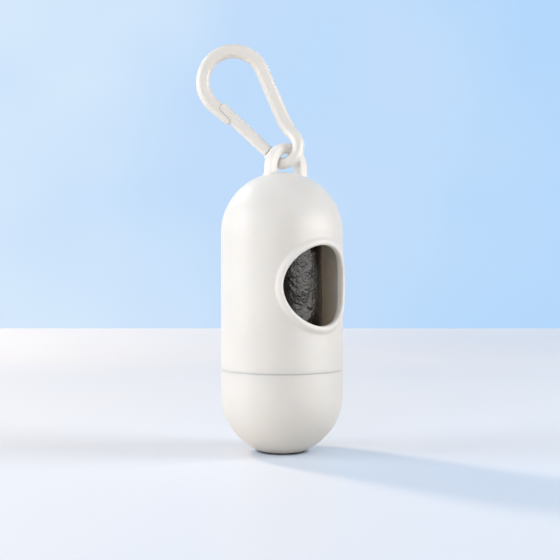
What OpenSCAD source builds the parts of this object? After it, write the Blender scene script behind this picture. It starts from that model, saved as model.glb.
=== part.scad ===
// Pocket dispenser for rolls of waste bags: a two-part screw capsule with a window, a roll of
// fifteen bags on a cardboard core, and a snap hook that hangs from the eye on the dome.
// Millimetres, +Z up. The origin is the centre of the flat foot, and the window faces -Y.

/* [Capsule] */
// Outer diameter of the capsule
body_d = 38; // [37:0.5:39]
// Height of the capsule without its eye
body_h = 87; // [86.5:0.5:87.5]
// Wall thickness of both shells
wall = 1.8; // [1.6:0.1:1.9]
// Height of the seam between the upper shell and the cup
seam_z = 25.7; // [25:0.1:27]
// Width of the groove at the seam
seam_gap = 0.3; // [0.2:0.05:0.4]
// Radius of the flat foot under the cup
foot_r = 6.1; // [5:0.1:7]

/* [Window] */
// Height of the centre of the window
window_z = 52; // [50:0.5:54]
// Radius of the window opening
window_r = 12.2; // [10:0.1:12.5]
// Width of the raised rim round the window
rim_w = 2.2; // [1.5:0.1:2.6]
// Height of the raised rim above the capsule
rim_h = 0.7; // [0.4:0.1:0.9]

/* [Eye] */
// Outer radius of the eye on the dome
eye_outer_r = 7.8; // [7.4:0.1:8]
// Radius of the hole in the eye
eye_hole_r = 4.6; // [4.5:0.1:4.8]
// Thickness of the eye
eye_t = 3.5; // [3.2:0.1:3.6]
// Height of the centre of the hole above the top of the dome
eye_rise = 1.3; // [1.2:0.1:1.6]
// Sideways offset of the eye from the capsule's axis
eye_x = 1.6; // [1:0.1:1.8]

/* [Screw thread] */
// Rise of the thread in one turn
thread_lead = 6; // [5:0.5:7]
// Outer radius of the neck that carries the male thread
neck_r = 16.1; // [15.9:0.1:16.2]
// Height of the ridges above the neck and the cup wall
thread_h = 0.8; // [0.6:0.05:0.8]

/* [Roll of bags] */
// Number of bags on the roll
bag_count = 15; // [10:1:16]
// Outer radius of a full roll
roll_r = 12.6; // [11:0.1:13]
// Width of the film, which is the height of the roll
roll_h = 61; // [58:0.5:62]
// Outer radius of the cardboard core
core_r = 6.75; // [6.5:0.05:7]
// Wall thickness of the cardboard core
core_wall = 1; // [0.8:0.1:1.1]

/* [Snap hook] */
// Turn of the hook's plane from the window's plane, in degrees
hook_turn = 38; // [37:0.5:39]
// Width of the hook's bar, in the hook's plane
bar_w = 4.25; // [4:0.05:4.3]
// Thickness of the hook's bar, across its plane
bar_t = 3.9; // [3.7:0.05:3.9]
// Diameter of the round rod in the lower loop
rod_d = 3.8; // [3.6:0.05:3.8]
// Radius of the big bend, at the middle of the bar
bend_r = 9.6; // [9.5:0.05:9.8]

/* [Hidden] */
bag_names = [for (i = [1 : bag_count]) str("bag_", i < 10 ? "0" : "", i)];
shell_names = ["upper_shell", "bottom_cup", "roll_core"];
hook_names = ["carabiner_frame", "carabiner_gate", "gate_pin", "gate_spring"];
plastic = "white";
film = "dimgray";
card = "burlywood";
steel = "silver";
$fn = 96;

// Capsule shape
body_r = body_d / 2;
inner_r = body_r - wall;
base_z = sqrt(body_r * body_r - foot_r * foot_r);
dome_z = body_h - body_r;
edge = 0.2;
arc_steps = 30;
past = 5;

// Seam, neck and shoulder of the upper shell
shell_low = seam_z + seam_gap / 2;
cup_high = seam_z - seam_gap / 2;
neck_wall = 1.4;
neck_low = seam_z - 7.4;
shoulder_h = 1.4;
shoulder_rise = 2.5;

// Thread ridges: their thickness, how deep their roots lie in the wall, and their turn
ridge_root_t = 1.15;
ridge_crest_t = 0.7;
ridge_depth = 0.4;
ridge_sweep = 200;
ridge_ends = 25;
ridge_start = 0.25;
ridge_steps = 28;
ridge_low = neck_low + 1.5;

// Rim of the window: how far it reaches over the opening and into the wall before it is cut
rim_inset = 0.4;
rim_root = 1;
rim_steps = 90;

// Inside of the cup
floor_z = 2.2;
seat_z = 7.6;
rib_count = 6;
rib_t = 1.2;
rib_in = 4.8;
rib_out = 13.9;
rib_foot = [[11, 4.2], [8, 2.3], [6.5, 1.2]];
spigot_r = 5.35;
spigot_wall = 1;
spigot_z = 13;
spigot_root = 0.5;

// Roll
core_gap = 0.15;
core_low = seat_z + core_gap;
core_rim = 0.5;
core_h = roll_h + 2 * core_rim;
film_low = core_low + core_rim;
wrap_gap = 0.04;
roll_play = 0.1;
wrap_pitch = (roll_r - core_r - roll_play) / bag_count;

// Eye
eye_z = body_h + eye_rise;
eye_mid_r = (eye_outer_r + eye_hole_r) / 2;
eye_band = eye_outer_r - eye_hole_r;
eye_root = 0.3;
eye_corner = 4;
eye_steps = 28;

// Snap hook, in its own plane: u runs to the right and z up, seen from the front
plane_back = 2.1;
bend_u = -15;
bend_z = 115.2;
spine_lean = 23.4;
nose_turn = 229;
nose_len = 7.4;
nose_taper = 0.86;
nose_marks = [1, 0.7, 0.35];
bend_steps = 40;
spine_marks = [3, 7, 11, 14.5, 17];
loop_steps = 3;
knuckle_u = -4;
knuckle_z = 93.4;
bar_corner = 4.5;
round_z = 98;
round_span = 4;

// Gate, measured from its pin along the gate
pin_u = -5.8;
pin_z = 94.9;
gate_rise = 43.2;
gate_len = 18.4;
gate_w = 3.8;
gate_end = 1.95;
gate_turn_r = 2.05;
knuckle_gap = 0.2;
lap_side = -0.94;
lap_low = 13;
lap_gap = 0.12;
lap_step = 0.55;
lap_corner = 0.5;
tip_shape = [[-1.1, 0], [-0.3, 0.4], [0, 1.1], [-0.1, 1.9], [-0.6, past]];
pin_r = 0.75;
pin_clear = 0.05;
pin_low = -1.2;
pin_high = 1.75;
tongue_r = 1.45;
tongue_t = 1.5;
tongue_w = 2.2;
tongue_root = 3.2;
slot_t = 1.7;
slot_end = 1.75;
spring_bore_r = 0.95;
spring_bore_x = 9.2;
spring_r = 0.62;
spring_wire_r = 0.15;
spring_low = 1.5;
spring_high = 8.8;
spring_turns = 8;
spring_steps = 12;

// Route of the round rod from the spine through the eye to the gate's knuckle
loop_route = [
  [2.6, 0.1, 100.9],
  [2.75, -1.5, 99.3],
  [2.9, -3.2, 97.6],
  [3.0, -4.1, 95.9],
  [3.0, -4.2, 94.3],
  [2.7, -4.15, 93.0],
  [2.1, -3.95, 91.9],
  [1.3, -3.45, 90.9],
  [0.5, -2.6, 90.1],
  [0.1, -1.3, 89.8],
  [-0.05, 0, 89.75],
  [-0.15, 1.3, 89.8],
  [-0.4, 2.6, 90.2],
  [-0.9, 3.5, 91.1],
  [-1.5, 4.1, 92.3],
];

function unit(v) = v / norm(v);
function turn_z(v, a) = [v[0] * cos(a) - v[1] * sin(a), v[0] * sin(a) + v[1] * cos(a), v[2]];

// A point and a direction of the hook's plane, with v running to the back
function hook_point(u, v, z) = turn_z([u, plane_back + v, z], -hook_turn);
function hook_dir(u, v, z) = turn_z([u, v, z], -hook_turn);

// Points of an arc
function arc(x, y, r, a0, a1, n = arc_steps) =
  [for (i = [0 : n]) [x + r * cos(a0 + (a1 - a0) * i / n), y + r * sin(a0 + (a1 - a0) * i / n)]];

// Rounded section: k is 2 for an ellipse and grows towards a rectangle
function round_rect(w, t, k, n) = [
  for (i = [0 : n - 1])
    let (a = 360 * (i + 0.5) / n, c = cos(a), s = sin(a))
      [w / 2 * sign(c) * pow(abs(c), 2 / k), t / 2 * sign(s) * pow(abs(s), 2 / k)]
];

// Faces of a tube from its rings. An open tube has two end caps.
function tube_faces(rings, sides, closed) = concat(
  [
    for (i = [0 : rings - (closed ? 1 : 2)])
      for (j = [0 : sides - 1])
        let (a = i * sides, b = ((i + 1) % rings) * sides, k = (j + 1) % sides)
          each [[a + j, b + j, b + k], [a + j, b + k, a + k]]
  ],
  closed ? [] : [[for (j = [0 : sides - 1]) j], [for (j = [sides - 1 : -1 : 0]) (rings - 1) * sides + j]]
);

module tube(rings, closed = false) {
  polyhedron(
    points = [for (ring = rings) each ring],
    faces = tube_faces(len(rings), len(rings[0]), closed),
    convexity = 6
  );
}

// Rings of a section along a path, with one axis of the section near a fixed side
function tangent(path, i) =
  unit(path[min(i + 1, len(path) - 1)] - path[max(i - 1, 0)]);
function ring(p, t, side, section) =
  let (v = unit(side - t * (side * t)), u = cross(v, t))
    [for (q = section) p + u * q[0] + v * q[1]];
function rings_along(path, side, sections) =
  [for (i = [0 : len(path) - 1]) ring(path[i], tangent(path, i), side, sections[i])];

// Smooth curve through hand-chosen points
function spline_at(p, i, f) =
  let (
    a = p[max(i - 1, 0)],
    b = p[i],
    c = p[min(i + 1, len(p) - 1)],
    d = p[min(i + 2, len(p) - 1)]
  )
    0.5 * (2 * b + (c - a) * f + (2 * a - 5 * b + 4 * c - d) * f * f + (3 * b - a - 3 * c + d) * f * f * f);
function spline(p, n) = concat(
  [for (i = [0 : len(p) - 2]) for (j = [0 : n - 1]) spline_at(p, i, j / n)],
  [p[len(p) - 1]]
);

module ring_wall(r, r_in, low, high) {
  rotate_extrude() translate([r_in, low]) square([r - r_in, high - low]);
}

// Ridge of the two-start thread, from its root and crest radii, its low end and where it starts
module thread_ridge(root, crest, low, first) {
  outward = crest > root;
  rings = [
    for (i = [0 : ridge_steps])
      let (
        a = ridge_sweep * i / ridge_steps,
        f = min(1, min(a, ridge_sweep - a) / ridge_ends),
        r = root + (crest - root) * (ridge_start + (1 - ridge_start) * f),
        z = low + thread_lead * a / 360,
        flank = ridge_root_t / 2,
        top = ridge_crest_t / 2,
        inside = [[root, -flank], [r, -top], [r, top], [root, flank]],
        outside = [for (j = [3 : -1 : 0]) inside[j]]
      )
        [for (q = outward ? outside : inside) turn_z([q[0], 0, z + q[1]], first + a)]
  ];
  tube(rings);
}

module threads(root, crest, low) {
  for (first = [0, 180]) thread_ridge(root, crest, low, first);
}

// Raised rim round the window, bent onto the capsule
module window_rim() {
  flat_r = body_r * asin(window_r / body_r) * PI / 180;
  section = [
    [-rim_inset, -rim_root],
    [-rim_inset, 0.55 * rim_h],
    [0, 0.85 * rim_h],
    [0.25 * rim_w, rim_h],
    [0.5 * rim_w, 0.9 * rim_h],
    [0.8 * rim_w, 0.4 * rim_h],
    [rim_w, -0.2 * rim_h],
    [rim_w, -rim_root],
  ];
  rings = [
    for (i = [0 : rim_steps - 1])
      let (t = 360 * i / rim_steps)
        [
          for (q = section)
            let (s = (flat_r + q[0]) * cos(t) / body_r * 180 / PI, r = body_r + q[1])
              [r * sin(s), -r * cos(s), window_z + (window_r + q[0]) * sin(t)]
        ]
  ];
  tube(rings, closed = true);
}

// Lower end of one leg of the eye, just under the surface of the dome
function leg_end(side) =
  let (x = eye_x + side * eye_outer_r)
    [eye_x + side * eye_mid_r, 0, dome_z + sqrt(body_r * body_r - x * x - eye_t * eye_t / 4) - eye_root];

// Arch-shaped eye: two straight legs and a half ring of one rounded section
module eye_arch() {
  section = round_rect(eye_band, eye_t, eye_corner, 20);
  arch = [for (q = arc(eye_x, eye_z, eye_mid_r, 0, 180, eye_steps)) [q[0], 0, q[1]]];
  path = concat([leg_end(1)], arch, [leg_end(-1)]);
  tube(rings_along(path, [0, 1, 0], [for (p = path) section]));
}

module upper_shell() {
  neck_in = neck_r - neck_wall;
  profile = concat(
    [[neck_in, neck_low], [neck_r - edge, neck_low], [neck_r, neck_low + edge]],
    [[neck_r, shell_low], [body_r - edge, shell_low], [body_r, shell_low + edge]],
    arc(0, dome_z, body_r, 0, 90),
    arc(0, dome_z, inner_r, 90, 0),
    [[inner_r, shell_low + shoulder_h + shoulder_rise], [neck_in, shell_low + shoulder_h]]
  );
  color(plastic) difference() {
    union() {
      rotate_extrude() polygon(profile);
      window_rim();
      eye_arch();
      threads(neck_r - ridge_depth, neck_r + thread_h, ridge_low);
    }
    translate([0, 0, window_z]) rotate([90, 0, 0]) cylinder(r = window_r, h = body_r + past);
  }
}

// Rib in the cup, from the spigot out into the wall
module seat_rib() {
  low = rib_foot[len(rib_foot) - 1][1];
  outline = concat([[rib_in, low], [rib_in, seat_z], [rib_out, seat_z]], rib_foot);
  rotate([90, 0, 0]) translate([0, 0, -rib_t / 2]) linear_extrude(rib_t) polygon(outline);
}

module bottom_cup() {
  foot_a = -acos(foot_r / body_r);
  floor_r = sqrt(inner_r * inner_r - (base_z - floor_z) * (base_z - floor_z));
  floor_a = -acos(floor_r / inner_r);
  profile = concat(
    [[0, 0]],
    arc(0, base_z, body_r, foot_a, 0),
    [[body_r, cup_high - edge], [body_r - edge, cup_high], [inner_r, cup_high]],
    arc(0, base_z, inner_r, 0, floor_a),
    [[0, floor_z]]
  );
  color(plastic) union() {
    rotate_extrude() polygon(profile);
    for (i = [0 : rib_count - 1]) rotate([0, 0, (i + 0.5) * 360 / rib_count]) seat_rib();
    ring_wall(spigot_r, spigot_r - spigot_wall, floor_z - spigot_root, spigot_z);
    threads(inner_r + ridge_depth, inner_r - thread_h, ridge_low + thread_lead / 4);
  }
}

module roll_core() {
  color(card) ring_wall(core_r, core_r - core_wall, core_low, core_low + core_h);
}

// One bag, as the film wound round the bags inside it. The first bag is the outermost.
module bag(number) {
  outer = roll_r - (number - 1) * wrap_pitch;
  color(film) ring_wall(outer, outer - wrap_pitch + wrap_gap, film_low, film_low + roll_h);
}

// Frame of the gate: x runs from the pin to the tip, y into the hook's loop, z to the back
module at_pin() {
  x = hook_dir(-cos(gate_rise), 0, sin(gate_rise));
  y = hook_dir(sin(gate_rise), 0, cos(gate_rise));
  z = hook_dir(0, 1, 0);
  p = hook_point(pin_u, 0, pin_z);
  multmatrix([[x[0], y[0], z[0], p[0]], [x[1], y[1], z[1], p[1]], [x[2], y[2], z[2], p[2]]]) children();
}

// Side view of the gate with its stepped tip and its round knuckle, grown by a gap
module gate_side(gap, end_gap) {
  end = -gate_end - end_gap;
  lap = [
    [lap_low + gap, -past],
    [lap_low + gap, lap_side - lap_step - gap],
    [lap_low + lap_corner, lap_side - gap],
  ];
  tip = [for (q = tip_shape) [gate_len + q[0] + (q[1] > 0 ? gap : 0), lap_side + q[1] - (q[1] > 0 ? 0 : gap)]];
  knuckle = arc(0, 0, gate_turn_r + end_gap, 95, 168, 8);
  polygon(concat([[end, -past]], lap, tip, [[0, past]], knuckle, [[end, 0]]));
}

module gate_prism(gap, end_gap) {
  translate([0, 0, -past]) linear_extrude(2 * past) gate_side(gap, end_gap);
}

// Middle line of the hook: nose, big bend, spine, lower loop, knuckle
function bend_point(a) = hook_point(bend_u + bend_r * cos(a), 0, bend_z + bend_r * sin(a));
function hook_path() =
  let (
    nose_start = bend_point(nose_turn),
    nose_dir = hook_dir(-sin(nose_turn), 0, cos(nose_turn)),
    nose = [for (f = nose_marks) nose_start + nose_dir * nose_len * f],
    bend = [for (i = [0 : bend_steps]) bend_point(nose_turn + (spine_lean - nose_turn) * i / bend_steps)],
    spine_dir = hook_dir(sin(spine_lean), 0, -cos(spine_lean)),
    spine_top = bend_point(spine_lean),
    spine = [for (f = spine_marks) spine_top + spine_dir * f],
    knuckle = [hook_point(knuckle_u, 0, knuckle_z), hook_point(pin_u, 0, pin_z)]
  )
    concat(nose, bend, spine, spline(loop_route, loop_steps), knuckle);

// The bar is a rounded rectangle that turns into a round rod below the spine
function hook_section(i, p) =
  let (
    f = max(0, min(1, (p[2] - round_z) / round_span)),
    slim = i == 0 ? nose_taper : i == 1 ? (1 + nose_taper) / 2 : 1,
    w = (rod_d + (bar_w - rod_d) * f) * slim,
    t = rod_d + (bar_t - rod_d) * f
  )
    round_rect(w, t, 2 + (bar_corner - 2) * f, 24);

module carabiner_frame() {
  path = hook_path();
  sections = [for (i = [0 : len(path) - 1]) hook_section(i, path[i])];
  color(plastic) difference() {
    union() {
      difference() {
        tube(rings_along(path, hook_dir(0, 1, 0), sections));
        at_pin() gate_prism(lap_gap, knuckle_gap);
      }
      at_pin() translate([0, 0, -tongue_t / 2]) cylinder(r = tongue_r, h = tongue_t);
      at_pin() translate([-tongue_root, -tongue_w / 2, -tongue_t / 2]) cube([tongue_root, tongue_w, tongue_t]);
    }
    at_pin() translate([0, 0, -past]) cylinder(r = pin_r + pin_clear, h = 2 * past);
  }
}

module carabiner_gate() {
  section = round_rect(gate_w, gate_w, bar_corner, 24);
  path = [for (x = [-gate_end - 0.5, gate_len / 3, gate_len * 2 / 3, gate_len + 0.5]) [x, 0, 0]];
  color(plastic) at_pin() difference() {
    intersection() {
      tube(rings_along(path, [0, 0, 1], [for (p = path) section]));
      gate_prism(0, 0);
    }
    translate([-past, -past, -slot_t / 2]) cube([past + slot_end, 2 * past, slot_t]);
    translate([0, 0, pin_low]) cylinder(r = pin_r, h = past);
    rotate([0, 90, 0]) cylinder(r = spring_bore_r, h = spring_bore_x);
  }
}

module gate_pin() {
  color(steel) at_pin() translate([0, 0, pin_low]) cylinder(r = pin_r, h = pin_high - pin_low);
}

module gate_spring() {
  count = spring_turns * spring_steps;
  low = spring_low + spring_wire_r;
  high = spring_high - spring_wire_r;
  path = [
    for (i = [0 : count])
      let (a = 360 * i / spring_steps)
        [low + (high - low) * i / count, spring_r * cos(a), spring_r * sin(a)]
  ];
  section = round_rect(2 * spring_wire_r, 2 * spring_wire_r, 2, 6);
  color(steel) at_pin() tube(rings_along(path, [1, 0, 0], [for (p = path) section]));
}

upper_shell();
bottom_cup();
roll_core();
for (i = [1 : bag_count]) bag(i);
carabiner_frame();
carabiner_gate();
gate_pin();
gate_spring();
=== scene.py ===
"""Looks of the pocket waste-bag dispenser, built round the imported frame. Lengths are in millimetres until meshes are made."""
import math

import bmesh
import bpy
import numpy as np
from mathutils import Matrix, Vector
from mathutils.kdtree import KDTree


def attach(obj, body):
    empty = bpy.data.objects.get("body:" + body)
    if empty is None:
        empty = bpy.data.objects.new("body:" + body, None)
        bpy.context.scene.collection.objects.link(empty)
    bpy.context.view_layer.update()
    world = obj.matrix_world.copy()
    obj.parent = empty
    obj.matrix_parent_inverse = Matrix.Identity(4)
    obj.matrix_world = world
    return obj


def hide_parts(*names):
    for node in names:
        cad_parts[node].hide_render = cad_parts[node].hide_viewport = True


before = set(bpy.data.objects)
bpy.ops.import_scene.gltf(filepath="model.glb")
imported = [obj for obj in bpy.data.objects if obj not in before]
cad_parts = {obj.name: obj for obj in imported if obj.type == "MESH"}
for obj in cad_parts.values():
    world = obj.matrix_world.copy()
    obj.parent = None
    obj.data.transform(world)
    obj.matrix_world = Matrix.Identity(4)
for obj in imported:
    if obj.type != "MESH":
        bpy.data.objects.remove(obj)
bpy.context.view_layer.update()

MM = 0.001
SCENE = bpy.context.scene

# Capsule
BODY_R, INNER_R = 19.0, 17.2
DOME_Z, BASE_Z, FOOT_R, FOOT_STEP = 68.0, math.sqrt(19.0**2 - 6.1**2), 6.1, 0.33
SEAM_Z, SEAM_GAP, SEAM_EDGE = 25.7, 0.05, 0.15
NECK_R, NECK_IN, NECK_LOW = 16.1, 14.7, 18.3
WINDOW_Z, WINDOW_R = 52.0, 12.2
COLUMNS = 160
PATCH_COLUMNS = 56
PATCH_ROWS = 56
PATCH_LOW, PATCH_HIGH = 33.0, 71.0

# Eye
EYE_X, EYE_Z, EYE_OUT, EYE_IN, EYE_T = 1.6, 88.3, 7.8, 4.6, 3.5

# Hook
TURN = math.radians(38)
PLANE_BACK = 2.1
BEND_U, BEND_Z, BEND_R = -15.0, 115.2, 9.6
SPINE_LEAN, NOSE_TURN, NOSE_LEN, NOSE_TAPER = 23.4, 229.0, 7.4, 0.86
BAR_W, BAR_T, ROD_D = 4.08, 3.88, 3.8
BEVEL, ROUND_Z, ROUND_SPAN = 0.85, 98.3, 3.4
SECTION_TURN = math.radians(8)
PIN_U, PIN_Z, GATE_RISE = -5.8, 94.9, math.radians(43.2)
GATE_LEN, GATE_W, GATE_END, GATE_TURN_R = 18.4, 3.8, 1.95, 2.05
LAP_SIDE, LAP_LOW, LAP_GAP, KNUCKLE_GAP = -0.94, 13.0, 0.12, 0.2
LOOP_ROUTE = [
    (2.6, 0.1, 100.9), (2.75, -1.5, 99.3), (2.9, -3.2, 97.6), (3.0, -4.1, 95.9), (3.0, -4.2, 94.3),
    (2.7, -4.15, 93.0), (2.1, -3.95, 91.9), (1.3, -3.45, 90.9), (0.5, -2.6, 90.1), (0.1, -1.3, 89.8),
    (-0.05, 0.0, 89.75), (-0.15, 1.3, 89.8), (-0.4, 2.6, 90.2), (-0.9, 3.5, 91.1), (-1.5, 4.1, 92.3),
]

# Roll
ROLL_R, CORE_R, BAG_COUNT = 12.6, 6.75, 15
FILM_LOW, ROLL_H = 8.25, 61.0
WRAP_PITCH = (ROLL_R - CORE_R - 0.1) / BAG_COUNT


# ---- Mesh helpers

class Build:
    """Collects points and faces in millimetres."""

    def __init__(self):
        self.points, self.faces, self.count = [], [], 0

    def add(self, points):
        points = np.asarray(points, float).reshape(-1, 3)
        first = self.count
        self.points.append(points)
        self.count += len(points)
        return first

    def grid(self, points, keep=None, wrap=False, flip=False):
        """Quads between the rows of an array of rows x columns x 3."""
        rows, columns = points.shape[:2]
        first = self.add(points)
        last = columns if wrap else columns - 1
        for i in range(rows - 1):
            for j in range(last):
                if keep is not None and not keep(i, j):
                    continue
                k = (j + 1) % columns
                a, b = first + i * columns + j, first + i * columns + k
                c, d = first + (i + 1) * columns + k, first + (i + 1) * columns + j
                self.faces.append((a, d, c, b) if flip else (a, b, c, d))

    def tube(self, rings, caps=True, closed=False, flip=False):
        """A skin over rings of equal length."""
        rings = np.asarray(rings, float)
        rows, sides = rings.shape[:2]
        first = self.add(rings)
        for i in range(rows if closed else rows - 1):
            for j in range(sides):
                k = (j + 1) % sides
                n = (i + 1) % rows
                a, b = first + i * sides + j, first + i * sides + k
                c, d = first + n * sides + k, first + n * sides + j
                self.faces.append((a, d, c, b) if flip else (a, b, c, d))
        if caps and not closed:
            for row, turned in ((0, not flip), (rows - 1, flip)):
                loop = [first + row * sides + j for j in range(sides)]
                self.faces.append(tuple(reversed(loop)) if turned else tuple(loop))

    def object(self, name, sharp=35, merge=0.002):
        mesh = bpy.data.meshes.new(name)
        points = np.concatenate(self.points) * MM
        mesh.from_pydata([tuple(p) for p in points], [], self.faces)
        bm = bmesh.new()
        bm.from_mesh(mesh)
        if merge:
            bmesh.ops.remove_doubles(bm, verts=bm.verts, dist=merge * MM)
        bmesh.ops.recalc_face_normals(bm, faces=bm.faces)
        bm.to_mesh(mesh)
        bm.free()
        smooth(mesh, sharp)
        made = bpy.data.objects.new(name, mesh)
        SCENE.collection.objects.link(made)
        return made


def smooth(mesh, sharp):
    mesh.shade_smooth()
    mesh.set_sharp_from_angle(angle=math.radians(sharp))


def clean(mesh):
    """Splits faces of many corners and drops those with no area."""
    bm = bmesh.new()
    bm.from_mesh(mesh)
    bmesh.ops.triangulate(bm, faces=[f for f in bm.faces if len(f.verts) > 4])
    bmesh.ops.dissolve_degenerate(bm, dist=0.0002 * MM, edges=bm.edges)
    bm.to_mesh(mesh)
    bm.free()


def boolean(target, cutter, operation):
    """Applies an exact boolean with a cutter, which is then removed."""
    modifier = target.modifiers.new("boolean", "BOOLEAN")
    modifier.operation, modifier.solver, modifier.object = operation, "EXACT", cutter
    dg = bpy.context.evaluated_depsgraph_get()
    mesh = bpy.data.meshes.new_from_object(target.evaluated_get(dg))
    target.modifiers.clear()
    clean(mesh)
    old = target.data
    target.data = mesh
    bpy.data.meshes.remove(old)
    bpy.data.objects.remove(cutter)


def add_solid(target, make, *sizes):
    """Joins a solid to the target, so that both have one skin."""
    build = Build()
    make(build, *sizes)
    boolean(target, build.object("solid"), "UNION")


def smooth_step(f):
    f = max(0.0, min(1.0, f))
    return f * f * (3 - 2 * f)


def unit(v):
    v = np.asarray(v, float)
    return v / np.linalg.norm(v)


def round_rect(w, t, k, n=32):
    """Rounded section: k is 2 for an ellipse and grows towards a rectangle."""
    a = 2 * np.pi * (np.arange(n) + 0.5) / n
    c, s = np.cos(a), np.sin(a)
    return np.stack([w / 2 * np.sign(c) * np.abs(c) ** (2 / k), t / 2 * np.sign(s) * np.abs(s) ** (2 / k)], 1)


def bevel_rect(w, t, cut, soft=0.3):
    """Rectangular section with bevelled and slightly softened corners, 40 points."""
    corners = []
    for sx, sy in ((1, 1), (-1, 1), (-1, -1), (1, -1)):
        pair = [(sx * w / 2, sy * (t / 2 - cut)), (sx * (w / 2 - cut), sy * t / 2)]
        corners += pair if sx == sy else pair[::-1]
    corners = np.array(corners)
    points = []
    for i, corner in enumerate(corners):
        before = corner + unit(corners[i - 1] - corner) * soft
        after = corner + unit(corners[(i + 1) % 8] - corner) * soft
        for f in np.linspace(0, 1, 5):
            points.append((1 - f) ** 2 * before + 2 * f * (1 - f) * corner + f * f * after)
    return np.array(points)


def bar_section(w, t, round_d, f):
    """The bar's bevelled section, run over into a round rod as f goes from 1 to 0."""
    bar = bevel_rect(w, t, BEVEL)
    a = np.arctan2(bar[:, 1], bar[:, 0])
    rod = np.stack([np.cos(a), np.sin(a)], 1) * round_d / 2
    return rod + (bar - rod) * f


def rings_along(path, side, sections):
    """Rings of a section along a path, with one axis of the section near a fixed side."""
    path = np.asarray(path, float)
    side = np.asarray(side, float)
    rings = []
    for i, p in enumerate(path):
        t = unit(path[min(i + 1, len(path) - 1)] - path[max(i - 1, 0)])
        v = unit(side - t * (side @ t))
        u = np.cross(v, t)
        q = sections[i]
        rings.append(p + q[:, :1] * u + q[:, 1:] * v)
    return rings


def arc(x, y, r, a0, a1, n):
    a = np.radians(np.linspace(a0, a1, n + 1))
    return [(x + r * c, y + r * s) for c, s in zip(np.cos(a), np.sin(a))]


def revolve(build, profile, columns=COLUMNS, flip=False):
    """Turns a profile of (radius, height) about Z."""
    profile = np.asarray(profile, float)
    a = np.radians(-180 + 360 * np.arange(columns) / columns)
    points = np.zeros((len(profile), columns, 3))
    points[:, :, 0] = profile[:, :1] * np.sin(a)
    points[:, :, 1] = -profile[:, :1] * np.cos(a)
    points[:, :, 2] = profile[:, 1:]
    build.grid(points, wrap=True, flip=flip)


# ---- Materials

def material(name, make):
    m = bpy.data.materials.new(name)
    m.use_nodes = True
    nodes, links = m.node_tree.nodes, m.node_tree.links
    nodes.clear()
    out = nodes.new("ShaderNodeOutputMaterial")
    shader = nodes.new("ShaderNodeBsdfPrincipled")
    links.new(shader.outputs[0], out.inputs[0])
    place = nodes.new("ShaderNodeTexCoord").outputs["Object"]
    make(nodes, links, shader, place)
    return m


def noise(nodes, links, place, scale, detail=3.0, rough=0.55, stretch=None, kind="FBM"):
    if stretch:
        mapping = nodes.new("ShaderNodeMapping")
        mapping.inputs["Scale"].default_value = stretch
        links.new(place, mapping.inputs["Vector"])
        place = mapping.outputs[0]
    n = nodes.new("ShaderNodeTexNoise")
    n.noise_type = kind
    n.inputs["Scale"].default_value = scale
    n.inputs["Detail"].default_value = detail
    n.inputs["Roughness"].default_value = rough
    links.new(place, n.inputs["Vector"])
    return n.outputs["Fac"]


def ramp(nodes, links, value, stops):
    r = nodes.new("ShaderNodeValToRGB")
    elements = r.color_ramp.elements
    while len(elements) < len(stops):
        elements.new(0.5)
    for e, (at, colour) in zip(elements, stops):
        e.position = at
        e.color = colour if len(colour) == 4 else (*colour, 1)
    links.new(value, r.inputs[0])
    return r.outputs[0]


def spread(nodes, links, value, low, high, at=(0.3, 0.7)):
    r = nodes.new("ShaderNodeMapRange")
    r.inputs["From Min"].default_value, r.inputs["From Max"].default_value = at
    r.inputs["To Min"].default_value, r.inputs["To Max"].default_value = low, high
    links.new(value, r.inputs["Value"])
    return r.outputs[0]


def bump(nodes, links, shader, layers):
    """Bump layers of (height, distance in mm, strength), one on top of the other."""
    normal = None
    for height, distance, strength in layers:
        b = nodes.new("ShaderNodeBump")
        b.inputs["Distance"].default_value = distance * MM
        b.inputs["Strength"].default_value = strength
        links.new(height, b.inputs["Height"])
        if normal is not None:
            links.new(normal, b.inputs["Normal"])
        normal = b.outputs[0]
    links.new(normal, shader.inputs["Normal"])


def white_plastic(low, high, roughness, depth, spark_height):
    """Satin moulded plastic: a fine spark texture, faint flow marks and a little colour drift. Light goes depth in."""
    def make(nodes, links, shader, place):
        drift = noise(nodes, links, place, 60, 2)
        links.new(ramp(nodes, links, drift, [(0.3, low), (0.7, high)]), shader.inputs["Base Color"])
        mottle = noise(nodes, links, place, 420, 3)
        links.new(spread(nodes, links, mottle, roughness - 0.05, roughness + 0.06), shader.inputs["Roughness"])
        shader.inputs["IOR"].default_value = 1.47
        if depth:
            shader.inputs["Subsurface Weight"].default_value = 0.8
            shader.inputs["Subsurface Radius"].default_value = (1.0, 0.88, 0.77)
            shader.inputs["Subsurface Scale"].default_value = depth * MM
        spark = noise(nodes, links, place, 5200, 2)
        flow = noise(nodes, links, place, 150, 2, stretch=(1, 1, 0.35))
        bump(nodes, links, shader, [(flow, 0.05, 0.25), (spark, spark_height, 0.35)])
    return make


def film_plastic(low, high, roughness):
    """Thin dark film: sharp little crinkles and a fine grain break up its sheen."""
    def make(nodes, links, shader, place):
        cloud = noise(nodes, links, place, 260, 4)
        links.new(ramp(nodes, links, cloud, [(0.32, low), (0.68, high)]), shader.inputs["Base Color"])
        streak = noise(nodes, links, place, 700, 4, 0.6)
        links.new(spread(nodes, links, streak, roughness - 0.06, roughness + 0.08), shader.inputs["Roughness"])
        shader.inputs["Specular IOR Level"].default_value = 0.26
        ridge = noise(nodes, links, place, 560, 3, 0.5, kind="RIDGED_MULTIFRACTAL")
        fine = noise(nodes, links, place, 1500, 2, 0.5)
        bump(nodes, links, shader, [(ridge, 0.2, 0.8), (fine, 0.16, 1.0)])
    return make


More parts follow.
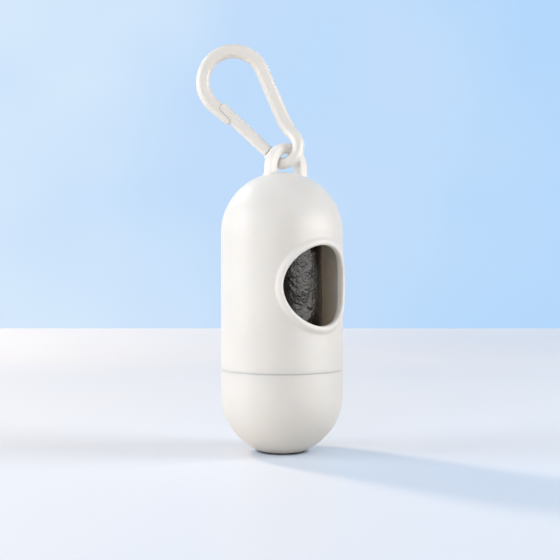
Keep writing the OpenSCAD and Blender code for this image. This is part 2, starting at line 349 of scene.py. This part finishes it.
def cardboard(nodes, links, shader, place):
    """Spiral-wound kraft card: a winding seam, fibres and a matt face."""
    fibre = noise(nodes, links, place, 900, 5, 0.6, stretch=(1, 1, 3))
    links.new(ramp(nodes, links, fibre, [(0.3, (0.27, 0.17, 0.09)), (0.7, (0.42, 0.29, 0.17))]), shader.inputs["Base Color"])
    shader.inputs["Roughness"].default_value = 0.9
    wave = nodes.new("ShaderNodeTexWave")
    wave.wave_profile = "SAW"
    wave.bands_direction = "Z"
    wave.inputs["Scale"].default_value = 18
    wave.inputs["Distortion"].default_value = 1
    links.new(place, wave.inputs["Vector"])
    bump(nodes, links, shader, [(wave.outputs["Fac"], 0.08, 0.4), (fibre, 0.05, 0.5)])


def steel(nodes, links, shader, place):
    """Bright drawn wire: long fine scratches and a slight change of tone."""
    grain = noise(nodes, links, place, 3000, 3)
    links.new(ramp(nodes, links, grain, [(0.3, (0.46, 0.46, 0.47)), (0.7, (0.62, 0.62, 0.62))]), shader.inputs["Base Color"])
    links.new(spread(nodes, links, grain, 0.22, 0.38), shader.inputs["Roughness"])
    shader.inputs["Metallic"].default_value = 1
    bump(nodes, links, shader, [(grain, 0.01, 0.3)])


shell_white = material("shell_white", white_plastic((0.80, 0.79, 0.777), (0.83, 0.82, 0.807), 0.41, 2.2, 0.012))
hook_white = material("hook_white", white_plastic((0.83, 0.812, 0.79), (0.86, 0.842, 0.82), 0.36, 0, 0.003))
dark_film = material("dark_film", film_plastic((0.004, 0.003, 0.0015), (0.020, 0.012, 0.005), 0.15))
kraft = material("kraft", cardboard)
wire = material("wire", steel)


def finish_piece(piece, paint, body, slot_name, *replaced):
    piece.data.materials.clear()
    piece.data.materials.append(paint)
    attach(piece, body)
    if replaced:
        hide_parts(*replaced)
    return piece


# ---- Capsule: skins in developed coordinates, turn round the axis and length up the wall

def on_skin(turn, up, radius, rise=0.0):
    """Points of the capsule's wall: turn from the window's middle in radians, up along the wall, rise off it."""
    turn, up, rise = np.broadcast_arrays(np.asarray(turn, float), np.asarray(up, float), np.asarray(rise, float))
    tilt = np.clip((up - DOME_Z) / radius, 0, math.pi / 2)
    r = (radius + rise) * np.cos(tilt)
    z = np.where(up > DOME_Z, DOME_Z + (radius + rise) * np.sin(tilt), up)
    return np.stack([r * np.sin(turn), -r * np.cos(turn), z], -1)


def patch_border():
    """Turn and height of the patch's border, from its lower left corner round to the left side."""
    half = PATCH_COLUMNS / 2 * 2 * math.pi / COLUMNS
    across = np.linspace(-half, half, PATCH_COLUMNS + 1)
    upward = np.linspace(PATCH_LOW, PATCH_HIGH, PATCH_ROWS + 1)
    border = [(a, PATCH_LOW) for a in across[:-1]] + [(half, u) for u in upward[:-1]]
    border += [(a, PATCH_HIGH) for a in across[:0:-1]] + [(-half, u) for u in upward[:0:-1]]
    return np.array(border)


def window_turns():
    """Angle round the window for each point of the border, straight out from the window's middle."""
    border = patch_border()
    return np.arctan2(border[:, 1] - WINDOW_Z, border[:, 0] * BODY_R)


def window_curve(radius):
    """The window's edge on a wall of that radius: its turns and heights, and its outward side there."""
    t = window_turns()
    turn = np.arcsin(WINDOW_R * np.cos(t) / radius)
    up = WINDOW_Z + WINDOW_R * np.sin(t)
    s = turn * radius
    tangent = np.stack([np.roll(s, -1) - np.roll(s, 1), np.roll(up, -1) - np.roll(up, 1)], 1)
    tangent /= np.linalg.norm(tangent, axis=1)[:, None]
    return turn, up, np.stack([tangent[:, 1], -tangent[:, 0]], 1)


def skin(build, radius, low, low_rows, flip):
    """The whole wall outside the patch."""
    top = DOME_Z + radius * math.pi / 2
    rows = np.concatenate([
        np.linspace(low, PATCH_LOW, low_rows + 1)[:-1],
        np.linspace(PATCH_LOW, PATCH_HIGH, PATCH_ROWS + 1)[:-1],
        np.linspace(PATCH_HIGH, top, 41),
    ])
    turns = np.radians(-180 + 360 * np.arange(COLUMNS) / COLUMNS)
    first_column = COLUMNS // 2 - PATCH_COLUMNS // 2
    points = on_skin(turns[None, :], rows[:, None], radius)
    hole = lambda i, j: low_rows <= i < low_rows + PATCH_ROWS and first_column <= j < first_column + PATCH_COLUMNS
    build.grid(points, keep=lambda i, j: not hole(i, j), wrap=True, flip=flip)


RIM = [(3.1, 0.0), (2.8, 0.01), (2.52, 0.045), (2.3, 0.11), (2.12, 0.2), (1.94, 0.31), (1.75, 0.43), (1.52, 0.55),
       (1.25, 0.64), (0.97, 0.685), (0.7, 0.69), (0.45, 0.65), (0.25, 0.56), (0.1, 0.44), (0.02, 0.3), (0.0, 0.16)]


def make_shell():
    build = Build()
    border = patch_border()

    # Outside, from the border of the patch to the rim
    turn, up, out = window_curve(BODY_R)
    rim_first = np.stack([turn * BODY_R + out[:, 0] * RIM[0][0], up + out[:, 1] * RIM[0][0]], 1)
    flat = np.stack([border[:, 0] * BODY_R, border[:, 1]], 1)
    rings = []
    for f in np.linspace(0, 1, 8)[:-1]:
        q = flat + (rim_first - flat) * f
        rings.append(on_skin(q[:, 0] / BODY_R, q[:, 1], BODY_R))
    for away, rise in RIM:
        s, z = turn * BODY_R + out[:, 0] * away, up + out[:, 1] * away
        rings.append(on_skin(s / BODY_R, z, BODY_R, rise))

    # Through the wall, with a small round at the inner edge
    inner_turn, inner_up, inner_out = window_curve(INNER_R)
    inner_edge = on_skin(inner_turn, inner_up, INNER_R)
    outer_edge = rings[-1]
    for f in (0.12, 0.25, 0.4, 0.55):
        rings.append(outer_edge + (inner_edge - outer_edge) * f)
    for away, rise in ((0.03, 0.66), (0.1, 0.46), (0.21, 0.29), (0.37, 0.14), (0.58, 0.05), (0.85, 0.0)):
        rings.append(on_skin(inner_turn + inner_out[:, 0] * away / INNER_R, inner_up + inner_out[:, 1] * away, INNER_R, rise))

    # Inside, back to the border
    start = np.stack([inner_turn * INNER_R + inner_out[:, 0] * 0.85, inner_up + inner_out[:, 1] * 0.85], 1)
    goal = np.stack([border[:, 0] * INNER_R, border[:, 1]], 1)
    for f in np.linspace(0, 1, 9)[1:]:
        q = start + (goal - start) * f
        rings.append(on_skin(q[:, 0] / INNER_R, q[:, 1], INNER_R))
    build.grid(np.array(rings), wrap=True)

    low = SEAM_Z + SEAM_GAP / 2
    skin(build, BODY_R, low + SEAM_EDGE, 10, False)
    skin(build, INNER_R, low + 3.9, 6, True)
    edge = arc(BODY_R - SEAM_EDGE, low + SEAM_EDGE, SEAM_EDGE, -90, 0, 5)
    neck = [(INNER_R, low + 3.9), (INNER_R - 0.9, low + 3.0), (NECK_IN + 0.2, low + 1.7), (NECK_IN, low + 1.3)]
    neck += [(NECK_IN, z) for z in np.linspace(low, NECK_LOW + 0.25, 8)]
    neck += arc(NECK_IN + 0.25, NECK_LOW + 0.25, 0.25, 180, 270, 4)[1:]
    neck += arc(NECK_R - 0.25, NECK_LOW + 0.25, 0.25, 270, 360, 4)
    neck += [(NECK_R, z) for z in np.linspace(NECK_LOW + 1, low - 0.2, 8)]
    neck += [(NECK_R + 0.1, low - 0.05), (NECK_R + 0.3, low), (BODY_R - 0.9, low)] + edge
    revolve(build, neck, flip=True)
    piece = build.object("shell")
    add_solid(piece, thread_ridges, NECK_R - 0.2, NECK_R + 0.8, NECK_LOW + 1.5)
    add_solid(piece, eye)
    smooth(piece.data, 40)
    return finish_piece(piece, shell_white, "shell", "shell_plastic", "upper_shell")


def thread_ridges(build, root, crest, low):
    """Both starts of the screw thread, run out at their ends."""
    for first in (0, 180):
        rings = []
        for i in range(81):
            a = 200 * i / 80
            f = min(1, min(a, 200 - a) / 25)
            r = root + (crest - root) * (0.25 + 0.75 * math.sin(f * math.pi / 2))
            z = low + 6 * a / 360
            section = [(root, -0.56), (r - 0.1 * np.sign(crest - root), -0.38), (r, -0.28), (r, 0.28),
                       (r - 0.1 * np.sign(crest - root), 0.38), (root, 0.56)]
            t = math.radians(first + a)
            rings.append([(q * math.cos(t), q * math.sin(t), z + h) for q, h in section])
        build.tube(rings)


def eye(build):
    """The arch on the dome, with a small fillet where its legs leave the dome."""
    mid, band = (EYE_OUT + EYE_IN) / 2, EYE_OUT - EYE_IN
    section = round_rect(band, EYE_T, 4.6, 36)
    arch = [(EYE_X + mid * math.cos(a), 0, EYE_Z + mid * math.sin(a)) for a in np.linspace(0, math.pi, 49)]
    rings = rings_along(arch, (0, 1, 0), [section] * len(arch))

    def leg(side):
        centre = EYE_X + side * mid
        made = []
        for height, flare in ((1.1, 0.0), (0.75, 0.04), (0.45, 0.13), (0.22, 0.28), (0.06, 0.5), (-0.05, 0.75), (-0.45, 0.85)):
            grown = section * (1 + 2 * flare / np.array([band, EYE_T]))
            x = centre + side * grown[:, 0]
            y = -grown[:, 1]
            z = DOME_Z + np.sqrt(np.maximum(BODY_R**2 - x**2 - y**2, 0)) + height
            made.append(np.stack([x, y, z], 1))
        return made

    right = leg(1)[::-1]
    left = leg(-1)
    # The sections of the legs follow the arch's own first and last ring
    def match(ring, target):
        order = [int(np.argmin(np.hypot(ring[:, 0] - p[0], ring[:, 1] - p[1]))) for p in target]
        return order
    order_r = match(right[-1], rings[0])
    order_l = match(left[0], rings[-1])
    rings = [r[order_r] for r in right] + rings + [r[order_l] for r in left]
    build.tube(rings)


def make_cup():
    build = Build()
    high = SEAM_Z - SEAM_GAP / 2
    step = math.sqrt(BODY_R**2 - (BASE_Z - FOOT_STEP) ** 2)
    outside = [(0, 0), (2, 0), (4, 0), (FOOT_R - 0.6, 0), (FOOT_R - 0.52, 0.03), (FOOT_R - 0.5, 0.1)]
    outside += [(FOOT_R - 0.5, FOOT_STEP - 0.06), (FOOT_R - 0.44, FOOT_STEP), (step - 0.05, FOOT_STEP)]
    outside += arc(0, BASE_Z, BODY_R, -math.degrees(math.acos(step / BODY_R)) + 0.1, 0, 56)
    outside += [(BODY_R, z) for z in np.linspace(BASE_Z, high - SEAM_EDGE, 10)[1:-1]]
    outside += arc(BODY_R - SEAM_EDGE, high - SEAM_EDGE, SEAM_EDGE, 0, 90, 6)
    floor_r = math.sqrt(INNER_R**2 - (BASE_Z - 2.2) ** 2)
    inside = arc(INNER_R + 0.2, high - 0.2, 0.2, 90, 180, 4)
    inside += arc(0, BASE_Z, INNER_R, 0, -math.degrees(math.acos(floor_r / INNER_R)), 40)
    inside += [(r, 2.2) for r in (6, 4, 2, 0)]
    revolve(build, outside + inside)
    piece = build.object("cup")
    add_solid(piece, thread_ridges, INNER_R + 0.2, INNER_R - 0.8, NECK_LOW + 3)
    add_solid(piece, ribs)
    add_solid(piece, tube_ring, 4.35, 5.35, 1.7, 13.0, 0.2)
    smooth(piece.data, 40)
    return finish_piece(piece, shell_white, "cup", "shell_plastic", "bottom_cup")


def tube_ring(build, inner, outer, low, high, edge):
    """A short wall round the axis with rounded rims."""
    profile = arc(outer - edge, high - edge, edge, 0, 90, 3) + arc(inner + edge, high - edge, edge, 90, 180, 3)
    profile += arc(inner + edge, low + edge, edge, 180, 270, 3) + arc(outer - edge, low + edge, edge, 270, 360, 3)
    profile.append(profile[0])
    revolve(build, profile, columns=96)


def ribs(build):
    """The six ribs of the roll's seat, with softened top edges."""
    outline = [(4.8, 1.2), (6.5, 1.2), (8, 2.3), (11, 4.2), (13.9, 7.6), (4.8, 7.6)]
    for i in range(6):
        turn = math.radians(60 * i + 30)
        c, s = math.cos(turn), math.sin(turn)
        rings = []
        for across, drop in ((-0.6, 0.15), (-0.5, 0.0), (0.5, 0.0), (0.6, 0.15)):
            rings.append([(x * c - across * s, x * s + across * c, min(z, 7.6 - drop)) for x, z in outline])
        build.tube(rings)


# ---- Snap hook

def hook_point(u, v, z):
    y = PLANE_BACK + v
    return np.array([u * math.cos(TURN) + y * math.sin(TURN), -u * math.sin(TURN) + y * math.cos(TURN), z])


def hook_dir(u, v, z):
    return np.array([u * math.cos(TURN) + v * math.sin(TURN), -u * math.sin(TURN) + v * math.cos(TURN), z])


def spline(points, n):
    p = [np.array(q, float) for q in points]
    made = []
    for i in range(len(p) - 1):
        a, b, c, d = p[max(i - 1, 0)], p[i], p[i + 1], p[min(i + 2, len(p) - 1)]
        for j in range(n):
            f = j / n
            made.append(0.5 * (2 * b + (c - a) * f + (2 * a - 5 * b + 4 * c - d) * f * f + (3 * b - a - 3 * c + d) * f**3))
    return made + [p[-1]]


def soften(path, first, last, passes=24):
    """Rounds off the turns of one stretch of a path."""
    path = np.array(path)
    for _ in range(passes):
        middle = (path[first - 1:last - 1] + path[first + 1:last + 1]) / 2
        path[first:last] = (path[first:last] + middle) / 2
    return path


def bend_point(a):
    a = math.radians(a)
    return hook_point(BEND_U + BEND_R * math.cos(a), 0, BEND_Z + BEND_R * math.sin(a))


def hook_rings():
    """Sections of the hook's bar from the nose round the bend, down the spine and through the eye to the knuckle."""
    nose_a, lean = math.radians(NOSE_TURN), math.radians(SPINE_LEAN)
    nose_start, spine_top = bend_point(NOSE_TURN), bend_point(SPINE_LEAN)
    nose_dir = hook_dir(-math.sin(nose_a), 0, math.cos(nose_a))
    spine_dir = hook_dir(math.sin(lean), 0, -math.cos(lean))
    nose = [nose_start + nose_dir * NOSE_LEN * f for f in np.linspace(1, 0, 13)[:-1]]
    bend = [bend_point(a) for a in np.linspace(NOSE_TURN, SPINE_LEAN, 91)]
    spine = [spine_top + spine_dir * f for f in np.linspace(0, 17, 26)[1:]]
    knuckle = [hook_point(-4, 0, 93.4), hook_point(PIN_U, 0, PIN_Z)]
    turned = spline([spine[-4], spine[-1]] + LOOP_ROUTE, 9)
    path = nose + bend + spine[:-4] + turned + knuckle
    start = len(nose) + len(bend) + len(spine) - 8
    path = soften(path, start, start + 28)
    sections = []
    for i, p in enumerate(path):
        f = smooth_step((p[2] - ROUND_Z) / ROUND_SPAN)
        slim = NOSE_TAPER + (1 - NOSE_TAPER) * min(1, i / 8)
        sections.append(bar_section(BAR_W, BAR_T, ROD_D, f) * [slim, 1])
    return rings_along(path, hook_dir(-math.sin(SECTION_TURN), math.cos(SECTION_TURN), 0), sections)


def at_pin(points):
    """Moves points from the gate's frame (along, into the loop, to the back) to the row's frame."""
    x = hook_dir(-math.cos(GATE_RISE), 0, math.sin(GATE_RISE))
    y = hook_dir(math.sin(GATE_RISE), 0, math.cos(GATE_RISE))
    z = hook_dir(0, 1, 0)
    q = np.asarray(points, float)
    return hook_point(PIN_U, 0, PIN_Z) + q[..., :1] * x + q[..., 1:2] * y + q[..., 2:] * z


def gate_side(gap, end_gap):
    """Side view of the gate, grown by a gap."""
    past = 5
    outline = [(-GATE_END - end_gap, -past), (LAP_LOW + gap, -past), (LAP_LOW + gap, LAP_SIDE - 0.55 - gap),
               (LAP_LOW + 0.5, LAP_SIDE - gap), (GATE_LEN - 1.1, LAP_SIDE - gap),
               (GATE_LEN - 0.3 + gap, LAP_SIDE + 0.4), (GATE_LEN + gap, LAP_SIDE + 1.1),
               (GATE_LEN - 0.1 + gap, LAP_SIDE + 1.9), (GATE_LEN - 0.6 + gap, past), (0, past)]
    outline += arc(0, 0, GATE_TURN_R + end_gap, 95, 168, 16) + [(-GATE_END - end_gap, 0)]
    return outline


def prism(name, outline, low, high):
    """A straight solid of an outline in the gate's frame."""
    build = Build()
    build.tube([at_pin([(x, y, z) for x, y in outline]) for z in (low, high)])
    return build.object(name)


def disc(r, n=48):
    a = 2 * np.pi * np.arange(n) / n
    return list(zip(r * np.cos(a), r * np.sin(a)))


def box_outline(x0, x1, y0, y1):
    return [(x0, y0), (x1, y0), (x1, y1), (x0, y1)]


def make_hook():
    build = Build()
    build.tube(hook_rings())
    piece = build.object("hook_frame")
    boolean(piece, prism("cut", gate_side(LAP_GAP, KNUCKLE_GAP), -5, 5), "DIFFERENCE")
    boolean(piece, prism("tongue", disc(1.45), -0.75, 0.75), "UNION")
    boolean(piece, prism("tongue_bar", box_outline(-3.2, 0, -1.1, 1.1), -0.75, 0.75), "UNION")
    boolean(piece, prism("bore", disc(0.8), -5, 5), "DIFFERENCE")
    smooth(piece.data, 32)
    return finish_piece(piece, hook_white, "carabiner", "hook_plastic", "carabiner_frame")


def make_gate():
    build = Build()
    section = bevel_rect(GATE_W - 0.1, GATE_W, BEVEL)
    c, s = math.cos(SECTION_TURN), math.sin(SECTION_TURN)
    section = section @ np.array([[c, -s], [s, c]])
    rings = []
    for x in np.linspace(-2.5, GATE_LEN + 0.5, 40):
        rings.append(at_pin(np.stack([np.full(len(section), x), section[:, 0], section[:, 1]], 1)))
    build.tube(rings)
    piece = build.object("hook_gate")
    boolean(piece, prism("side", gate_side(0, 0), -5, 5), "INTERSECT")
    boolean(piece, prism("slot", box_outline(-5, 1.75, -5, 5), -0.85, 0.85), "DIFFERENCE")
    boolean(piece, prism("bore", disc(0.75), -1.2, 4), "DIFFERENCE")
    bore = Build()
    bore.tube([at_pin([(x, y, z) for y, z in disc(0.95, 32)]) for x in (0, 9.2)])
    boolean(piece, bore.object("spring_bore"), "DIFFERENCE")
    smooth(piece.data, 32)
    return finish_piece(piece, hook_white, "gate", "hook_plastic", "carabiner_gate")


# ---- Roll of bags

def wander(a, z, seed, terms=7, low=2, high=9, tall=0.16):
    """Smooth wandering value round the roll and along it, from -1 to 1."""
    draw = np.random.default_rng(seed)
    total = np.zeros(np.broadcast(a, z).shape)
    for _ in range(terms):
        n = draw.integers(low, high)
        k = draw.normal(0, tall)
        total = total + np.sin(n * a + k * z + draw.uniform(0, 2 * math.pi)) * draw.uniform(0.4, 1)
    return total / terms


def make_bag(number):
    """One wound bag: a closed ring of film whose rims wander a little."""
    outer = ROLL_R - (number - 1) * WRAP_PITCH
    inner = outer - WRAP_PITCH + 0.04
    low, high = FILM_LOW, FILM_LOW + ROLL_H
    first = number == 1
    columns, rows = (420, 224) if first else (96, 16)
    turn = -math.pi + 2 * math.pi * np.arange(columns) / columns
    a = (turn - 0.45 * np.sin(turn))[None, :] if first else turn[None, :]
    z = np.linspace(0, 1, rows + 1)[:, None]
    top = high - 0.25 + 0.2 * wander(a, np.zeros((1, 1)), 40 + number, high=12)
    bottom = low + 0.25 + 0.2 * wander(a, np.zeros((1, 1)), 80 + number, high=12)
    heights = bottom + (top - bottom) * z
    radius = outer - 0.01 + (crumple(a, heights) if first else 0) + 0 * heights
    build = Build()
    out = np.stack([radius * np.sin(a), -radius * np.cos(a), heights], -1)
    back = np.stack([inner * np.sin(a) + 0 * heights, -inner * np.cos(a) + 0 * heights, heights], -1)[::-rows // 8]
    build.grid(np.concatenate([out, back, out[:1]]), wrap=True)
    piece = build.object("film_%02d" % number, sharp=60)
    return finish_piece(piece, dark_film, "roll", "film", "bag_%02d" % number)


def crumple(a, z):
    """Creases of the outer film, in millimetres off the roll's full radius: cones between scattered points."""
    draw = np.random.default_rng(11)
    a, z = np.broadcast_arrays(a, z)
    points = np.stack([ROLL_R * np.sin(a), -ROLL_R * np.cos(a), z], -1).reshape(-1, 3)
    depth = np.zeros(len(points))
    for size, slope in ((4.4, 0.13), (2.0, 0.15), (1.0, 0.12)):
        count = int(2 * math.pi * ROLL_R * ROLL_H / size**2)
        tree = KDTree(count)
        for i in range(count):
            turn = draw.uniform(-math.pi, math.pi)
            tree.insert((ROLL_R * math.sin(turn), -ROLL_R * math.cos(turn), draw.uniform(FILM_LOW, FILM_LOW + ROLL_H)), i)
        tree.balance()
        depth += slope * np.array([tree.find(p)[2] for p in points])
    depth -= depth.min()
    return -0.34 * np.minimum(1, depth / np.quantile(depth, 0.995)).reshape(a.shape)


# ---- Camera, stage and light

def vector(az, height=0.0):
    """Unit vector from the object towards that azimuth, raised by height."""
    a = math.radians(az)
    return Vector((math.sin(a), -math.cos(a), height)).normalized()


CAMERA_AZ = -41


def make_camera():
    data = bpy.data.cameras.new("camera")
    data.sensor_width = 36
    data.lens = 36 * 1122 / 560
    camera = bpy.data.objects.new("camera", data)
    SCENE.collection.objects.link(camera)
    back = vector(-41)
    right = Vector((math.cos(math.radians(-41)), math.sin(math.radians(-41)), 0))
    camera.location = back * 0.35 + Vector((0, 0, 0.060))
    aim = -back - right * (2 / 1122) - Vector((0, 0, 21.05 / 1122))
    camera.rotation_mode = "QUATERNION"
    camera.rotation_quaternion = aim.to_track_quat("-Z", "Y")
    data.clip_start, data.clip_end = 0.01, 20
    SCENE.camera = camera


def area_light(name, turn, height, away, size, watts, colour=(1, 1, 1)):
    """A soft lamp, turned from the camera's side (right is positive) and raised in degrees, facing the object."""
    data = bpy.data.lights.new(name, "AREA")
    data.shape, data.size, data.size_y = "RECTANGLE", size[0], size[1]
    data.energy, data.color = watts, colour
    lamp = bpy.data.objects.new(name, data)
    direction = vector(CAMERA_AZ + turn, math.tan(math.radians(height)))
    lamp.location = direction * away + Vector((0, 0, 0.06))
    lamp.rotation_mode = "QUATERNION"
    lamp.rotation_quaternion = (-direction).to_track_quat("-Z", "Y")
    lamp.visible_camera = False
    SCENE.collection.objects.link(lamp)
    return lamp


def link_light(lamp, receiver, state):
    """Keeps a lamp's light on the receiver alone, or off it."""
    group = bpy.data.collections.new(lamp.name)
    group.objects.link(receiver)
    group.collection_objects[0].light_linking.link_state = state
    lamp.light_linking.receiver_collection = group


def plain_sheet(name, corners, paint):
    mesh = bpy.data.meshes.new(name)
    mesh.from_pydata([tuple(c) for c in corners], [], [tuple(range(len(corners)))])
    made = bpy.data.objects.new(name, mesh)
    made.data.materials.append(paint)
    SCENE.collection.objects.link(made)
    return made


def stage_paint(name, make_seen, shade):
    """A stage sheet as the camera, gloss and glass see it, and a plain matt one for the light that it throws back."""
    m = bpy.data.materials.new(name)
    m.use_nodes = True
    nodes, links = m.node_tree.nodes, m.node_tree.links
    nodes.clear()
    out = nodes.new("ShaderNodeOutputMaterial")
    place = nodes.new("ShaderNodeTexCoord").outputs["Object"]
    matt = nodes.new("ShaderNodeBsdfDiffuse")
    matt.inputs["Color"].default_value = (*shade, 1)
    path = nodes.new("ShaderNodeLightPath")
    largest = path.outputs["Is Camera Ray"]
    for other in ("Is Glossy Ray", "Is Transmission Ray"):
        top = nodes.new("ShaderNodeMath")
        top.operation = "MAXIMUM"
        links.new(largest, top.inputs[0])
        links.new(path.outputs[other], top.inputs[1])
        largest = top.outputs[0]
    mix = nodes.new("ShaderNodeMixShader")
    links.new(largest, mix.inputs[0])
    links.new(matt.outputs[0], mix.inputs[1])
    links.new(make_seen(nodes, links, place), mix.inputs[2])
    links.new(mix.outputs[0], out.inputs[0])
    return m


def along(nodes, links, place, turn, low, high):
    """Runs from 0 to 1 along the floor, turned from the camera's side, between two distances from the object."""
    dot = nodes.new("ShaderNodeVectorMath")
    dot.operation = "DOT_PRODUCT"
    dot.inputs[1].default_value = vector(CAMERA_AZ + turn)
    links.new(place, dot.inputs[0])
    return spread(nodes, links, dot.outputs["Value"], 0, 1, at=(low, high))


def clouded(nodes, links, place, value):
    """The value with a soft cloud over it."""
    add = nodes.new("ShaderNodeMath")
    links.new(value, add.inputs[0])
    links.new(spread(nodes, links, noise(nodes, links, place, 2.6, 2), -0.2, 0.2), add.inputs[1])
    return add.outputs[0]


def floor_seen(nodes, links, place):
    # Painted light falloff: the floor's colour runs from paler on the left, the key lamp's side, to darker and bluer on
    # the right, under a soft cloud
    colour = ramp(nodes, links, clouded(nodes, links, place, along(nodes, links, place, 90, -0.35, 0.4)),
                  [(0.0, (0.785, 0.865, 0.965)), (0.5, (0.75, 0.84, 0.97)), (1.0, (0.68, 0.79, 0.96))])
    shader = nodes.new("ShaderNodeBsdfPrincipled")
    away = nodes.new("ShaderNodeVectorMath")
    away.operation = "LENGTH"
    links.new(place, away.inputs[0])
    # Painted contact shadow: the floor's colour is darkened to nearly black within about 7 to 9 mm of the object's
    # axis, around the foot
    painted_contact_shadow = nodes.new("ShaderNodeVectorMath")
    painted_contact_shadow.operation = "SCALE"
    links.new(colour, painted_contact_shadow.inputs[0])
    links.new(spread(nodes, links, away.outputs["Value"], 0.06, 1, at=(0.0066, 0.0088)), painted_contact_shadow.inputs["Scale"])
    links.new(painted_contact_shadow.outputs[0], shader.inputs["Base Color"])
    links.new(colour, shader.inputs["Emission Color"])
    links.new(spread(nodes, links, away.outputs["Value"], 0.0, 0.6, at=(0.25, 1.3)), shader.inputs["Emission Strength"])
    shader.inputs["Specular IOR Level"].default_value = 0.15
    shader.inputs["Roughness"].default_value = 0.42
    plain = nodes.new("ShaderNodeEmission")
    links.new(colour, plain.inputs["Color"])
    beyond = nodes.new("ShaderNodeMath")
    beyond.operation = "MULTIPLY"
    links.new(spread(nodes, links, away.outputs["Value"], 0, 1, at=(0.15, 0.34)), beyond.inputs[0])
    links.new(along(nodes, links, place, 0, -0.3, -0.1), beyond.inputs[1])
    mix = nodes.new("ShaderNodeMixShader")
    links.new(beyond.outputs[0], mix.inputs[0])
    links.new(shader.outputs[0], mix.inputs[1])
    links.new(plain.outputs[0], mix.inputs[2])
    return mix.outputs[0]


def sky_seen(nodes, links, place):
    shader = nodes.new("ShaderNodeEmission")
    links.new(ramp(nodes, links, clouded(nodes, links, place, along(nodes, links, place, 90, -0.5, 0.5)),
                   [(0.0, (0.70, 0.835, 0.973)), (0.5, (0.54, 0.725, 0.965)), (1.0, (0.46, 0.69, 0.973))]),
              shader.inputs["Color"])
    return shader.outputs[0]


def make_stage():
    far, wide, near = 0.62, 3, 2
    back = vector(CAMERA_AZ)
    right = vector(CAMERA_AZ + 90)
    corners = [-back * far - right * wide, back * near - right * wide, back * near + right * wide, -back * far + right * wide]
    floor = plain_sheet("floor", corners, stage_paint("floor", floor_seen, (0.59, 0.58, 0.555)))
    behind, drop, rise = -back * 1.4, Vector((0, 0, -0.4)), Vector((0, 0, 2.2))
    corners = [behind - right * wide + drop, behind + right * wide + drop, behind + right * wide + rise, behind - right * wide + rise]
    plain_sheet("backdrop", corners, stage_paint("sky", sky_seen, (0.74, 0.80, 0.86)))
    return floor


def make_light(floor):
    area_light("key", -80, 16, 0.72, (0.45, 0.5), 2.85, (0.98, 1, 1.025))
    area_light("back", -134, 38, 0.9, (0.12, 0.12), 1.6, (1, 0.97, 0.92))
    shade = area_light("shade", -134, 38, 0.9, (0.12, 0.12), 2.5, (1, 0.48, 0.08))
    link_light(shade, floor, "INCLUDE")
    area_light("front", -24, 12, 0.75, (0.42, 0.4), 1.45, (1, 0.99, 0.98))
    fill = area_light("fill", 84, 24, 0.6, (0.3, 0.4), 2.05, (1, 0.99, 0.98))
    fill.visible_glossy = False
    panel = area_light("panel", 64, 0, 0.6, (0.70, 0.6), 9.0, (1, 0.985, 0.965))
    panel.visible_diffuse = False
    link_light(panel, floor, "EXCLUDE")
    world = bpy.data.worlds.new("world")
    world.use_nodes = True
    nodes, links = world.node_tree.nodes, world.node_tree.links
    ambient = nodes["Background"]
    ambient.inputs["Strength"].default_value = 0.42
    ambient.inputs["Color"].default_value = (1, 1, 1, 1)
    path = nodes.new("ShaderNodeLightPath")
    shown = ambient.outputs[0]
    for ray, colour, strength in (("Is Glossy Ray", (1, 1, 1, 1), 0.10), ("Is Camera Ray", (0.62, 0.78, 0.97, 1), 1)):
        view = nodes.new("ShaderNodeBackground")
        view.inputs["Color"].default_value, view.inputs["Strength"].default_value = colour, strength
        mix = nodes.new("ShaderNodeMixShader")
        links.new(path.outputs[ray], mix.inputs[0])
        links.new(shown, mix.inputs[1])
        links.new(view.outputs[0], mix.inputs[2])
        shown = mix.outputs[0]
    links.new(shown, nodes["World Output"].inputs["Surface"])
    SCENE.world = world
    SCENE.view_settings.view_transform = "Standard"


make_camera()
make_light(make_stage())
make_shell()
make_cup()
make_hook()
make_gate()
for number in range(1, BAG_COUNT + 1):
    make_bag(number)
for node, paint in (("roll_core", kraft), ("gate_pin", wire), ("gate_spring", wire)):
    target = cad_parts[node]
    target.data.materials.clear()
    target.data.materials.append(paint)
